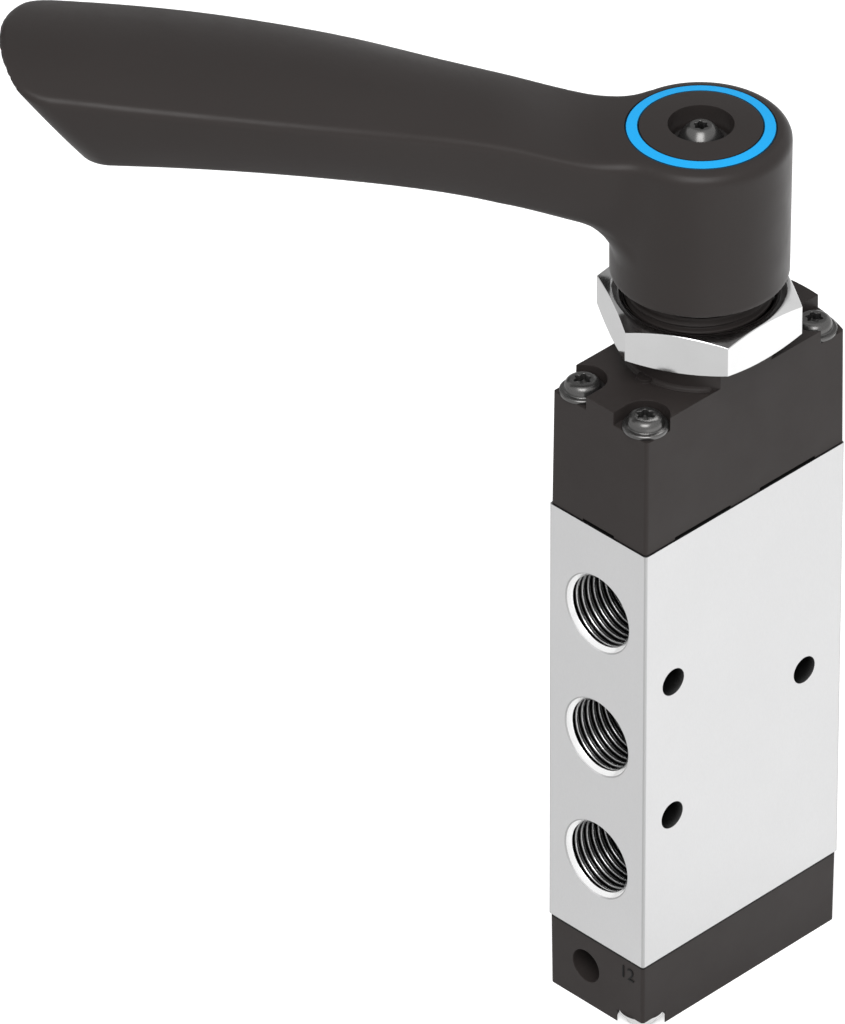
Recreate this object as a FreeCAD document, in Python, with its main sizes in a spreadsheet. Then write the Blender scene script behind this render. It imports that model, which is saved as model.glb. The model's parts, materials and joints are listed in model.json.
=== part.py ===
"""Hand lever air valve: a five-port spool valve turned by a lever on top.

The spool runs along Z inside an aluminium body that is closed by a moulded cap at each end.
The lever turns a cam spindle whose two helical slots lift a cross pin, and the pin lifts the spool.
Frame: origin at the middle of the bottom cap's underside, +Z along the spool towards the lever,
-Y the narrow face with three ports, +X one of the two wide faces. Millimetres.
"""
import FreeCAD, Part
import math
import os

import Sketcher

Vector = FreeCAD.Vector
doc = FreeCAD.newDocument("hand_lever_valve")

# Driving sizes, one cell each: what the name says, in millimetres or degrees
SIZES = [
    # Body
    ("body_width", 15.0),
    ("body_depth", 31.6),
    ("body_height", 56.7),
    ("body_edge_radius", 0.3),
    ("spool_bore_radius", 5.2),
    # Ports on the narrow faces
    ("port_radius", 4.86),
    ("port_depth", 7.0),
    ("port_chamfer", 0.14),
    ("port_passage_radius", 2.9),
    ("port_pitch", 17.0),
    ("port_middle_rise", 0.05),
    # Holes across the body for its fixing screws
    ("fixing_hole_radius", 1.7),
    ("fixing_hole_pitch", 18.4),
    ("front_fixing_margin", 4.5),
    ("rear_fixing_margin", 6.0),
    # Cap screws
    ("cap_screw_side_margin", 2.65),
    ("cap_screw_end_margin", 2.5),
    ("cap_screw_radius", 1.25),
    ("cap_screw_flange_radius", 2.57),
    ("cap_screw_flange_height", 0.45),
    ("cap_screw_head_radius", 2.05),
    ("cap_screw_head_height", 1.7),
    ("cap_screw_top_radius", 1.2),
    ("cap_screw_grip", 6.0),
    ("cap_hole_clearance", 0.15),
    # Both end caps
    ("cap_inset", 0.13),
    ("cap_draft", 0.5),
    ("cap_edge_radius", 0.4),
    ("pocket_radius", 2.75),
    ("pocket_depth", 1.7),
    # Top cap
    ("top_cap_height", 16.8),
    ("rear_bulge_radius", 20.6),
    ("slot_height", 0.4),
    ("slot_depth", 0.5),
    ("narrow_slot_half_length", 2.4),
    ("wide_slot_start", 2.3),
    ("wide_slot_margin", 4.7),
    ("collar_radius", 8.25),
    ("collar_core_radius", 7.7),
    ("collar_height", 9.2),
    ("spigot_height", 2.0),
    ("collar_recess_depth", 3.0),
    ("collar_recess_radius", 6.4),
    ("pip_radius", 0.95),
    ("pip_height", 0.4),
    ("pip_offset", 8.5),
    # Bottom cap
    ("bottom_cap_height", 9.8),
    ("vent_radius", 2.1),
    ("vent_offset", 1.65),
    ("vent_rise", 5.2),
    ("vent_end", 2.8),
    ("vent_passage_radius", 0.8),
    ("vent_passage_offset", 3.8),
    ("buffer_recess_depth", 1.5),
    # Gaskets
    ("gasket_thickness", 0.5),
    ("gasket_side_margin", 1.1),
    ("gasket_screw_margin", 2.9),
    # Panel nut
    ("nut_across_flats", 20.2),
    ("nut_height", 5.1),
    ("nut_rise", 3.2),
    ("nut_corner_cone", 21.0),
    ("nut_rim_radius", 9.8),
    ("nut_rim_width", 0.1),
    ("nut_dish_depth", 1.3),
    # Spool and its seals
    ("spool_radius", 4.0),
    ("spool_groove_radius", 2.4),
    ("spool_ramp", 0.9),
    ("spool_stroke", 4.25),
    ("spool_stem_radius", 2.6),
    ("spool_end_gap", 0.3),
    ("seal_width", 1.8),
    ("seal_corner", 0.35),
    ("spacer_inner_radius", 4.35),
    ("spacer_groove_radius", 4.8),
    ("spacer_groove_width", 4.4),
    ("spacer_window_radius", 1.3),
    ("buffer_height", 3.0),
    ("buffer_radius", 3.3),
    # Fits
    ("running_gap", 0.05),
    ("slip_gap", 0.03),
    # Cam drive in the top cap
    ("bush_radius", 6.25),
    ("sleeve_radius", 5.0),
    ("sleeve_bore_radius", 3.3),
    ("sleeve_lift", 0.7),
    ("drive_bore_height", 16.2),
    ("thrust_washer_height", 0.5),
    ("sleeve_roof", 4.5),
    ("pin_radius", 1.0),
    ("pin_half_length", 5.9),
    ("pin_rise", 3.7),
    ("cam_slot_height", 2.76),
    ("cam_slot_run_out", 18.0),
    ("lever_swing", 90.0),
    ("shaft_radius", 4.0),
    ("shaft_seal_radius", 3.1),
    ("shaft_seal_width", 1.8),
    ("shaft_seal_rise", 4.0),
    ("ball_radius", 1.5),
    ("ball_track_depth", 0.35),
    ("detent_depth", 0.25),
    ("detent_rise", 2.3),
    ("spring_wire_radius", 0.2),
    ("spring_radius", 1.1),
    ("spring_turns", 3.0),
    # Lever hub
    ("hub_gap", 1.5),
    ("hub_top_radius", 10.05),
    ("hub_bottom_radius", 9.8),
    ("hub_height", 19.1),
    ("hub_edge_radius", 1.2),
    ("hub_dome_radius", 61.0),
    ("hub_well_radius", 3.66),
    ("hub_well_depth", 3.0),
    ("hub_boss_radius", 5.9),
    ("hub_boss_drop", 2.9),
    ("square_half_width", 2.8),
    ("square_start", 3.0),
    ("hub_web", 1.1),
    ("spindle_end_gap", 0.1),
    ("ring_inner_radius", 6.85),
    ("ring_outer_radius", 8.3),
    ("ring_depth", 1.5),
    ("hub_screw_radius", 1.5),
    ("hub_screw_head_radius", 2.37),
    ("hub_screw_head_height", 2.2),
    ("hub_screw_top_radius", 1.4),
    ("hub_screw_length", 10.0),
    ("washer_radius", 3.3),
    ("washer_height", 0.5),
    # Lever arm, seen from the hub's axis
    ("lever_angle", 225.0),
    ("lever_reach", 76.1),
    ("tip_radius", 16.8),
    ("tip_corner_radius", 2.2),
    ("tip_undercut_run", 13.0),
    ("tip_undercut_rise", 10.9),
    ("arm_wall_lean", 2.0),
    ("hub_fillet_radius", 2.0),
]

# Sections across the lever arm: name, then place as a share of the lever's reach, half width of
# the top, rise of the top's edges over the hub's top, depth of the side walls and crown of the top
ARM_COLUMNS = ("place", "half_width", "rise", "depth", "crown")
ARM_SECTIONS = [
    ("root", 0.066, 7.6, -1.2, 8.4, 0.5),
    ("neck", 0.164, 7.1, -1.05, 8.8, 0.5),
    ("shoulder", 0.263, 7.25, 0.9, 8.5, 0.85),
    ("grip", 0.394, 8.3, 3.2, 8.0, 1.4),
    ("waist", 0.552, 9.75, 5.5, 7.6, 1.7),
    ("palm", 0.736, 10.45, 7.6, 8.1, 1.7),
    ("tip", 0.92, 10.1, 9.15, 8.9, 1.7),
    ("run_out", 1.13, 9.2, 10.4, 9.9, 1.7),
]


class Size:
    """A size from the sheet, or a formula of such sizes, with its present value."""

    def __init__(self, value, formula=None):
        self.value = float(value)
        self.formula = repr(self.value) if formula is None else formula

    def __add__(self, other):
        other = size(other)
        return Size(self.value + other.value, f"({self.formula} + {other.formula})")

    def __sub__(self, other):
        other = size(other)
        return Size(self.value - other.value, f"({self.formula} - {other.formula})")

    def __mul__(self, other):
        other = size(other)
        return Size(self.value * other.value, f"({self.formula} * {other.formula})")

    def __truediv__(self, other):
        other = size(other)
        return Size(self.value / other.value, f"({self.formula} / {other.formula})")

    def __neg__(self):
        return Size(-self.value, f"(-1 * {self.formula})")

    def __radd__(self, other):
        return size(other) + self

    def __rsub__(self, other):
        return size(other) - self

    def __rmul__(self, other):
        return size(other) * self


def size(number):
    """Take a Size as it is, and wrap a plain number."""
    return number if isinstance(number, Size) else Size(number)


def root(number):
    """Square root of a Size."""
    return Size(math.sqrt(number.value), f"sqrt({number.formula})")


def write_sheet():
    """Write the driving sizes to the sheet, and return them by name."""
    sheet = doc.addObject("Spreadsheet::Sheet", "Sizes")
    arm = [(f"arm_{section[0]}_{column}", number)
           for section in ARM_SECTIONS for column, number in zip(ARM_COLUMNS, section[1:])]
    named = {}
    for row, (alias, number) in enumerate(SIZES + arm, start=1):
        sheet.set(f"A{row}", alias)
        sheet.set(f"B{row}", str(number))
        sheet.setAlias(f"B{row}", alias)
        named[alias] = Size(number, f"Sizes.{alias}")
    doc.recompute()
    return named


S = write_sheet()


# Heights of the main seats, worked out once from the sizes
BODY_FOOT = S["bottom_cap_height"]
BODY_TOP = BODY_FOOT + S["body_height"]
PLATEAU = BODY_TOP + S["top_cap_height"]
POCKET_FLOOR = PLATEAU - S["pocket_depth"]
COLLAR_TOP = PLATEAU + S["collar_height"]
DRIVE_ROOF = BODY_TOP + S["drive_bore_height"]
SLEEVE_TOP = DRIVE_ROOF - S["thrust_washer_height"]
SLEEVE_FOOT = BODY_TOP + S["sleeve_lift"]
PIN_HEIGHT = BODY_TOP + S["pin_rise"]
DETENT_HEIGHT = SLEEVE_TOP - S["detent_rise"]
HUB_FOOT = COLLAR_TOP + S["hub_gap"]
HUB_TOP = HUB_FOOT + S["hub_height"]
WELL_FLOOR = HUB_TOP - S["hub_well_depth"]
PORT_MIDDLE = BODY_FOOT + S["body_height"] / 2 + S["port_middle_rise"]
SEAL_PITCH = S["port_pitch"] / 2
STACK_HALF = SEAL_PITCH * 2.5
HALF_WIDTH = S["body_width"] / 2
HALF_DEPTH = S["body_depth"] / 2
CAP_HALF_WIDTH = HALF_WIDTH - S["cap_inset"]
CAP_HALF_DEPTH = HALF_DEPTH - S["cap_inset"]
FOUR_CORNERS = [(1, 1), (1, -1), (-1, 1), (-1, -1)]
TWO_CORNERS = [(1, -1), (-1, 1)]
SCREW_X = HALF_WIDTH - S["cap_screw_side_margin"]
SCREW_Y = HALF_DEPTH - S["cap_screw_end_margin"]
GASKET_X = HALF_WIDTH - S["gasket_side_margin"]
GASKET_Y = SCREW_Y - S["gasket_screw_margin"]
SEAL_OUTER_RADIUS = S["spool_bore_radius"] - S["slip_gap"]
CAM_PITCH = S["spool_stroke"] * 360 / S["lever_swing"]


def new_body(label):
    """Start a sub-part as a PartDesign body."""
    body = doc.addObject("PartDesign::Body", label)
    body.Label = label
    return body


def new_sketch(body, plane, offset=0, at=(0, 0), turn=None, about=(0, 0, 1)):
    """Add a sketch on one of the body's origin planes, moved on it and turned about one of its axes."""
    sketch = body.newObject("Sketcher::SketchObject", f"{body.Name}_sketch")
    support = [item for item in body.Origin.OriginFeatures if item.Role == plane][0]
    sketch.AttachmentSupport = [(support, "")]
    sketch.MapMode = "FlatFace"
    shift = [size(at[0]), size(at[1]), size(offset)]
    angle = 0 if turn is None else turn.value
    sketch.AttachmentOffset = FreeCAD.Placement(Vector(*[item.value for item in shift]),
                                                FreeCAD.Rotation(Vector(*about), angle))
    if turn is not None:
        sketch.setExpression("AttachmentOffset.Rotation.Angle", turn.formula)
    for letter, item in zip("xyz", shift):
        sketch.setExpression(f"AttachmentOffset.Base.{letter}", item.formula)
    return sketch


def bind(sketch, constraint, formula):
    """Add a constraint and bind its size to a formula."""
    index = sketch.addConstraint(constraint)
    sketch.setExpression(f"Constraints[{index}]", formula)


def pin_point(sketch, geometry, point, place):
    """Hold one point of a sketch at a place given by two sizes."""
    axes = (("DistanceX", place[0], -2), ("DistanceY", place[1], -1))
    for kind, coordinate, axis in axes:
        along = size(coordinate)
        if along.value == 0:
            sketch.addConstraint(Sketcher.Constraint("PointOnObject", geometry, point, axis))
        elif along.value > 0:
            bind(sketch, Sketcher.Constraint(kind, -1, 1, geometry, point, along.value), along.formula)
        else:
            back = -along
            bind(sketch, Sketcher.Constraint(kind, geometry, point, -1, 1, back.value), back.formula)


def flat(place):
    """A sketch point from two sizes."""
    return Vector(size(place[0]).value, size(place[1]).value, 0)


def arc_between(start, end, radius, side):
    """The shorter arc from start to end: side 1 bulges to the right of the way there, -1 to the left."""
    half = (end - start) * 0.5
    across = Vector(half.y, -half.x, 0).normalize()
    sagitta = radius - math.sqrt(radius ** 2 - half.Length ** 2)
    return Part.Arc(start, start + half + across * side * sagitta, end)


def outline(sketch, corners):
    """Draw a closed outline. A corner is (x, y), or (x, y, radius, side) where an arc leaves it."""
    ends = []
    for index, corner in enumerate(corners):
        start, end = flat(corner), flat(corners[(index + 1) % len(corners)])
        if len(corner) == 2:
            geometry = sketch.addGeometry(Part.LineSegment(start, end), False)
            ends.append((geometry, 1, 2))
            continue
        radius = size(corner[2])
        geometry = sketch.addGeometry(arc_between(start, end, radius.value, corner[3]), False)
        forward = sketch.Geometry[geometry].StartPoint.distanceToPoint(start) < 1e-6
        ends.append((geometry, 1, 2) if forward else (geometry, 2, 1))
    for index, (geometry, _, last) in enumerate(ends):
        follower, first, _ = ends[(index + 1) % len(ends)]
        sketch.addConstraint(Sketcher.Constraint("Coincident", geometry, last, follower, first))
    for (geometry, first, _), corner in zip(ends, corners):
        pin_point(sketch, geometry, first, corner[:2])
        if len(corner) == 4:
            bind(sketch, Sketcher.Constraint("Radius", geometry, size(corner[2]).value), size(corner[2]).formula)


def circles(sketch, centres, radius):
    """Draw equal circles at the given centres."""
    for centre in centres:
        circle = Part.Circle(flat(centre), Vector(0, 0, 1), radius.value)
        geometry = sketch.addGeometry(circle, False)
        pin_point(sketch, geometry, 3, centre)
        bind(sketch, Sketcher.Constraint("Radius", geometry, radius.value), radius.formula)


def rectangle(sketch, low, high):
    """Draw a rectangle between two opposite corners."""
    outline(sketch, [(low[0], low[1]), (high[0], low[1]), (high[0], high[1]), (low[0], high[1])])


def pad(body, sketch, length, reverse=False, taper=None):
    """Raise a sketch into a solid."""
    feature = body.newObject("PartDesign::Pad", f"{body.Name}_pad")
    feature.Profile = sketch
    feature.Length = length.value
    feature.setExpression("Length", length.formula)
    feature.Reversed = reverse
    if taper is not None:
        feature.TaperAngle = taper.value
        feature.setExpression("TaperAngle", taper.formula)
    doc.recompute()
    return feature


def pocket(body, sketch, depth=None, reverse=False):
    """Cut a sketch out of the body, through all of it where no depth is given."""
    before = body.Shape.Volume
    feature = body.newObject("PartDesign::Pocket", f"{body.Name}_pocket")
    feature.Profile = sketch
    if depth is None:
        feature.Type = "ThroughAll"
        feature.SideType = "Symmetric"
    else:
        feature.Length = depth.value
        feature.setExpression("Length", depth.formula)
        feature.Reversed = reverse
    doc.recompute()
    if not body.Shape.Volume < before - 1e-4:
        raise ValueError(f"{sketch.Name} cuts nothing")
    return feature


def revolve(body, sketch, kind="PartDesign::Revolution", axis="V_Axis"):
    """Turn a sketch once round its own upright axis."""
    feature = body.newObject(kind, f"{body.Name}_turned")
    feature.Profile = sketch
    feature.ReferenceAxis = (sketch, [axis])
    feature.Angle = 360.0
    doc.recompute()
    return feature


def dress(body, kind, amount, wanted):
    """Round or bevel every edge of the body that the test wants."""
    base = body.Tip
    names = [f"Edge{number}" for number, edge in enumerate(base.Shape.Edges, start=1) if wanted(edge)]
    if not names:
        raise ValueError(f"no edge to dress on {body.Label}")
    feature = body.newObject(f"PartDesign::{kind}", f"{body.Name}_{kind.lower()}")
    feature.Base = (base, names)
    dimension = "Radius" if kind == "Fillet" else "Size"
    setattr(feature, dimension, amount.value)
    feature.setExpression(dimension, amount.formula)
    doc.recompute()
    return feature


def pattern(body, feature, count, plane_or_axis="Z_Axis"):
    """Repeat a feature round an origin axis of the body."""
    polar = body.newObject("PartDesign::PolarPattern", f"{body.Name}_pattern")
    polar.Originals = [feature]
    axis = [item for item in body.Origin.OriginFeatures if item.Role == plane_or_axis][0]
    polar.Axis = (axis, [""])
    polar.Angle = 360.0
    polar.Occurrences = count
    body.Tip = polar
    doc.recompute()
    return polar


def near(first, second):
    """Whether two numbers are the same length, apart from rounding."""
    return abs(first - second) < 1e-4


def turned(label, profile, at=(0, 0)):
    """Make a turned sub-part from its half section: corners of radius and height."""
    body = new_body(label)
    sketch = new_sketch(body, "XZ_Plane", -size(at[1]), (at[0], 0))
    outline(sketch, profile)
    revolve(body, sketch)
    return body


def make_valve_body():
    """The extruded aluminium body with its bores."""
    body = new_body("valve_body")
    block = new_sketch(body, "XY_Plane", BODY_FOOT)
    rectangle(block, (-HALF_WIDTH, -HALF_DEPTH), (HALF_WIDTH, HALF_DEPTH))
    pad(body, block, S["body_height"])
    dress(body, "Fillet", S["body_edge_radius"],
          lambda edge: near(edge.Length, S["body_height"].value))

    bore = new_sketch(body, "XY_Plane", BODY_TOP)
    circles(bore, [(0, 0)], S["spool_bore_radius"])
    pocket(body, bore)

    faces = ((-1, [-1, 0, 1], False), (1, [-0.5, 0.5], True))
    for side, places, reverse in faces:
        centres = [(0, PORT_MIDDLE + S["port_pitch"] * place) for place in places]
        mouth = new_sketch(body, "XZ_Plane", HALF_DEPTH * -side)
        circles(mouth, centres, S["port_radius"])
        pocket(body, mouth, S["port_depth"], reverse)
        passage = new_sketch(body, "XZ_Plane", HALF_DEPTH * -side)
        circles(passage, centres, S["port_passage_radius"])
        pocket(body, passage, HALF_DEPTH, reverse)
    dress(body, "Chamfer", S["port_chamfer"],
          lambda edge: hasattr(edge.Curve, "Radius") and near(edge.Curve.Radius, S["port_radius"].value)
          and near(abs(edge.CenterOfMass.y), HALF_DEPTH.value))

    fixing = new_sketch(body, "YZ_Plane")
    half_pitch = S["fixing_hole_pitch"] / 2
    front = S["front_fixing_margin"] - HALF_DEPTH
    circles(fixing, [(front, PORT_MIDDLE + half_pitch), (front, PORT_MIDDLE - half_pitch),
                     (HALF_DEPTH - S["rear_fixing_margin"], PORT_MIDDLE)], S["fixing_hole_radius"])
    pocket(body, fixing)

    for level, reverse, corners in ((BODY_TOP, False, FOUR_CORNERS), (BODY_FOOT, True, TWO_CORNERS)):
        tapped = new_sketch(body, "XY_Plane", level)
        circles(tapped, screw_places(corners), S["cap_screw_radius"] + S["slip_gap"])
        pocket(body, tapped, S["cap_screw_grip"] + 0.8, reverse)
    return body


def screw_places(corners):
    """Centres of the cap screws in the given corners."""
    return [(SCREW_X * sx, SCREW_Y * sy) for sx, sy in corners]


def open_corners(body, level, corners, inner_reach, reverse):
    """Cut the screw pockets that open through the cap's corners."""
    reach = S["body_width"]
    rounds = new_sketch(body, "XY_Plane", level)
    circles(rounds, screw_places(corners), S["pocket_radius"])
    pocket(body, rounds, S["pocket_depth"], reverse)
    openings = new_sketch(body, "XY_Plane", level)
    for sx, sy in corners:
        rectangle(openings, (inner_reach * sx, SCREW_Y * sy), (reach * sx, S["body_depth"] * sy))
    pocket(body, openings, S["pocket_depth"], reverse)


def cap_holes(body, level, corners):
    """Drill the clearance holes of the cap screws."""
    holes = new_sketch(body, "XY_Plane", level)
    circles(holes, screw_places(corners), S["cap_screw_radius"] + S["cap_hole_clearance"])
    pocket(body, holes)


def gasket_recess(body, level, reverse):
    """Cut the shallow bed of a gasket into a cap's sealing face."""
    bed = new_sketch(body, "XY_Plane", level)
    rectangle(bed, (-GASKET_X, -GASKET_Y), (GASKET_X, GASKET_Y))
    pocket(body, bed, S["gasket_thickness"], reverse)


def make_top_cap():
    """The moulded housing of the cam drive, with the collar that a panel nut clamps."""
    body = new_body("top_cap")
    foot = new_sketch(body, "XY_Plane", BODY_TOP)
    outline(foot, [(-CAP_HALF_WIDTH, -CAP_HALF_DEPTH),
                   (CAP_HALF_WIDTH, -CAP_HALF_DEPTH),
                   (CAP_HALF_WIDTH, CAP_HALF_DEPTH, S["rear_bulge_radius"], 1),
                   (-CAP_HALF_WIDTH, CAP_HALF_DEPTH)])
    pad(body, foot, S["top_cap_height"], taper=-S["cap_draft"])
    dress(body, "Fillet", S["cap_edge_radius"],
          lambda edge: edge.BoundBox.ZLength > S["top_cap_height"].value - 1)

    open_corners(body, PLATEAU, FOUR_CORNERS, SCREW_X - S["pocket_radius"], False)
    cap_holes(body, PLATEAU, FOUR_CORNERS)

    top_half_width = CAP_HALF_WIDTH - S["top_cap_height"] * math.tan(math.radians(S["cap_draft"].value))
    flat_reach = root(S["collar_radius"] * S["collar_radius"] - top_half_width * top_half_width)
    spigot = new_sketch(body, "XY_Plane", PLATEAU)
    outline(spigot, [(-top_half_width, flat_reach),
                     (-top_half_width, -flat_reach, S["collar_radius"], 1),
                     (top_half_width, -flat_reach),
                     (top_half_width, flat_reach, S["collar_radius"], 1)])
    pad(body, spigot, S["spigot_height"])
    collar = new_sketch(body, "XY_Plane", PLATEAU + S["spigot_height"])
    circles(collar, [(0, 0)], S["collar_core_radius"])
    pad(body, collar, S["collar_height"] - S["spigot_height"])
    pip = new_sketch(body, "XY_Plane", PLATEAU)
    circles(pip, [(0, -S["pip_offset"])], S["pip_radius"])
    pad(body, pip, S["pip_height"])

    drive = new_sketch(body, "XY_Plane", BODY_TOP)
    circles(drive, [(0, 0)], S["bush_radius"] + S["slip_gap"])
    pocket(body, drive, S["drive_bore_height"], True)
    shaft = new_sketch(body, "XY_Plane", COLLAR_TOP)
    circles(shaft, [(0, 0)], S["shaft_radius"] + S["running_gap"])
    pocket(body, shaft)
    recess = new_sketch(body, "XY_Plane", COLLAR_TOP)
    circles(recess, [(0, 0)], S["collar_recess_radius"])
    pocket(body, recess, S["collar_recess_depth"])
    gasket_recess(body, BODY_TOP, True)

    slots = new_sketch(body, "XY_Plane", BODY_TOP)
    inner_x, inner_y = CAP_HALF_WIDTH - S["slot_depth"], CAP_HALF_DEPTH - S["slot_depth"]
    outer_x, outer_y = HALF_WIDTH + S["slot_depth"], HALF_DEPTH + S["slot_depth"]
    rectangle(slots, (-S["narrow_slot_half_length"], -outer_y), (S["narrow_slot_half_length"], -inner_y))
    wide_slot_end = HALF_DEPTH - S["wide_slot_margin"]
    for sx in (-1, 1):
        for sy in (-1, 1):
            rectangle(slots, (inner_x * sx, S["wide_slot_start"] * sy), (outer_x * sx, wide_slot_end * sy))
    pocket(body, slots, S["slot_height"], True)
    return body


def make_bottom_cap():
    """The moulded cap that closes the lower end and holds the spool's buffer and vent."""
    body = new_body("bottom_cap")
    face = new_sketch(body, "XY_Plane", BODY_FOOT)
    rectangle(face, (-CAP_HALF_WIDTH, -CAP_HALF_DEPTH), (CAP_HALF_WIDTH, CAP_HALF_DEPTH))
    pad(body, face, S["bottom_cap_height"], True, -S["cap_draft"])
    dress(body, "Fillet", S["cap_edge_radius"],
          lambda edge: edge.BoundBox.ZLength > S["bottom_cap_height"].value - 1)
    open_corners(body, size(0), TWO_CORNERS, SCREW_X, True)
    cap_holes(body, size(0), TWO_CORNERS)
    recess = new_sketch(body, "XY_Plane", BODY_FOOT)
    circles(recess, [(0, 0)], S["buffer_radius"] + S["slip_gap"])
    pocket(body, recess, S["buffer_recess_depth"])
    gasket_recess(body, BODY_FOOT, False)
    vent = new_sketch(body, "XZ_Plane", HALF_DEPTH)
    circles(vent, [(-S["vent_offset"], S["vent_rise"])], S["vent_radius"])
    pocket(body, vent, HALF_DEPTH - S["vent_end"])
    passage = new_sketch(body, "XY_Plane", BODY_FOOT)
    circles(passage, [(-S["vent_offset"], -S["vent_passage_offset"])], S["vent_passage_radius"])
    pocket(body, passage, BODY_FOOT - S["vent_rise"])
    return body


def make_gasket(label, level, bore_radius, reverse):
    """A flat gasket with a round opening for the spool."""
    body = new_body(label)
    sheet = new_sketch(body, "XY_Plane", level)
    edge = S["slip_gap"]
    rectangle(sheet, (edge - GASKET_X, edge - GASKET_Y), (GASKET_X - edge, GASKET_Y - edge))
    circles(sheet, [(0, 0)], bore_radius)
    pad(body, sheet, S["gasket_thickness"], reverse)
    return body


def make_panel_nut():
    """The hexagon nut on the collar, bevelled on both sides and dished on top."""
    body = new_body("panel_nut")
    foot = PLATEAU + S["nut_rise"]
    top = foot + S["nut_height"]
    half = S["nut_across_flats"] / 2
    corner = S["nut_across_flats"] / math.sqrt(3)
    hexagon = new_sketch(body, "XY_Plane", foot)
    outline(hexagon, [(half, -corner / 2), (half, corner / 2), (0, corner),
                      (-half, corner / 2), (-half, -corner / 2), (0, -corner)])
    pad(body, hexagon, S["nut_height"])
    bore = new_sketch(body, "XY_Plane", top)
    inner = S["collar_core_radius"] + S["slip_gap"]
    circles(bore, [(0, 0)], inner)
    pocket(body, bore)

    reach = corner * 1.1
    drop = (reach - S["nut_rim_radius"]) * math.tan(math.radians(S["nut_corner_cone"].value))
    for level, way in ((top, -1), (foot, 1)):
        bevel = new_sketch(body, "XZ_Plane")
        outline(bevel, [(S["nut_rim_radius"], level), (reach, level), (reach, level + drop * way)])
        revolve(body, bevel, "PartDesign::Groove")
    dish = new_sketch(body, "XZ_Plane")
    floor = top - S["nut_dish_depth"]
    outline(dish, [(inner, floor), (S["collar_radius"], floor), (S["nut_rim_radius"] - S["nut_rim_width"], top),
                   (inner, top)])
    revolve(body, dish, "PartDesign::Groove")
    return body


def make_screw(label, head, shank_radius, shank_length, seat, way, at=(0, 0)):
    """Half section of a screw whose head stands off its seat along way."""
    profile = [(0, seat - shank_length * way), (shank_radius, seat - shank_length * way), (shank_radius, seat)]
    profile += [(radius, seat + rise * way) for radius, rise in head]
    profile += [(0, seat + head[-1][1] * way)]
    return turned(label, profile, at)


def make_cap_screws(label, seat, way, hole_length, corners):
    """Equal flange screws, one solid each."""
    head = [(S["cap_screw_flange_radius"], size(0)),
            (S["cap_screw_flange_radius"], S["cap_screw_flange_height"]),
            (S["cap_screw_head_radius"], S["cap_screw_flange_height"]),
            (S["cap_screw_head_radius"] - 0.15, S["cap_screw_flange_height"] + 0.45),
            (S["cap_screw_top_radius"], S["cap_screw_head_height"])]
    body = make_screw(label, head, S["cap_screw_radius"], hole_length + S["cap_screw_grip"], seat, way,
                      screw_places(corners)[0])
    body.AllowCompound = True
    if corners is TWO_CORNERS:
        pattern(body, body.Tip, len(corners))
        return body
    planes = {item.Role: item for item in body.Origin.OriginFeatures}
    transform = body.newObject("PartDesign::MultiTransform", f"{label}_copies")
    transform.Originals = [body.Tip]
    mirrors = []
    for role in ("YZ_Plane", "XZ_Plane"):
        mirror = body.newObject("PartDesign::Mirrored", f"{label}_mirror")
        mirror.MirrorPlane = (planes[role], [""])
        mirrors.append(mirror)
    transform.Transformations = mirrors
    body.Tip = transform
    doc.recompute()
    return body


def make_spool():
    """The spool: three lands, two grooves and the stem that holds the cross pin."""
    land, waist, ramp = S["spool_radius"], S["spool_groove_radius"], S["spool_ramp"]
    foot = BODY_FOOT - S["buffer_recess_depth"] + S["buffer_height"] + S["spool_end_gap"]
    centre = PORT_MIDDLE
    profile = [(0, foot), (land - 0.4, foot), (land, foot + 0.4)]
    for start in (-1.75, 0.25):
        low, high = centre + SEAL_PITCH * start, centre + SEAL_PITCH * (start + 1)
        profile += [(land, low), (waist, low + ramp), (waist, high - ramp), (land, high)]
    shoulder = BODY_TOP - S["spool_stroke"] - 1
    tip = PIN_HEIGHT + S["pin_radius"] + 0.8
    profile += [(land, shoulder - 0.4), (land - 0.4, shoulder), (S["spool_stem_radius"], shoulder),
                (S["spool_stem_radius"], tip - 0.3), (S["spool_stem_radius"] - 0.3, tip), (0, tip)]
    body = turned("spool", profile)
    cross = new_sketch(body, "XZ_Plane")
    circles(cross, [(0, PIN_HEIGHT)], S["pin_radius"])
    pocket(body, cross)
    return body


def make_cam_pin():
    """The cross pin that the cam slots lift."""
    body = new_body("cam_pin")
    end = new_sketch(body, "XZ_Plane", -S["pin_half_length"])
    circles(end, [(0, PIN_HEIGHT)], S["pin_radius"])
    pad(body, end, S["pin_half_length"] * 2)
    return body


def make_stack():
    """Six seals and the five windowed spacers between them, stacked in the bore."""
    pieces = []
    outer, corner = SEAL_OUTER_RADIUS, S["seal_corner"]
    inner = S["spool_radius"] + S["slip_gap"]
    for number in range(6):
        middle = PORT_MIDDLE + SEAL_PITCH * (number - 2.5)
        low, high = middle - S["seal_width"] / 2, middle + S["seal_width"] / 2
        profile = [(inner, low + corner), (inner + corner, low), (outer - corner, low), (outer, low + corner),
                   (outer, high - corner), (outer - corner, high), (inner + corner, high), (inner, high - corner)]
        pieces.append(turned(f"spool_seal_{number + 1}", profile))
    for number in range(5):
        middle = PORT_MIDDLE + SEAL_PITCH * (number - 2)
        half = (SEAL_PITCH - S["seal_width"]) / 2
        groove = S["spacer_groove_width"] / 2
        inner = S["spacer_inner_radius"]
        body = turned(f"spacer_{number + 1}",
                      [(inner, middle - half), (outer, middle - half), (outer, middle - groove),
                       (S["spacer_groove_radius"], middle - groove), (S["spacer_groove_radius"], middle + groove),
                       (outer, middle + groove), (outer, middle + half), (inner, middle + half)])
        window = new_sketch(body, "XZ_Plane", -S["spool_bore_radius"])
        circles(window, [(0, middle)], S["spacer_window_radius"])
        opening = pocket(body, window, S["spool_bore_radius"], True)
        pattern(body, opening, 4)
        pieces.append(body)
    return pieces


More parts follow.
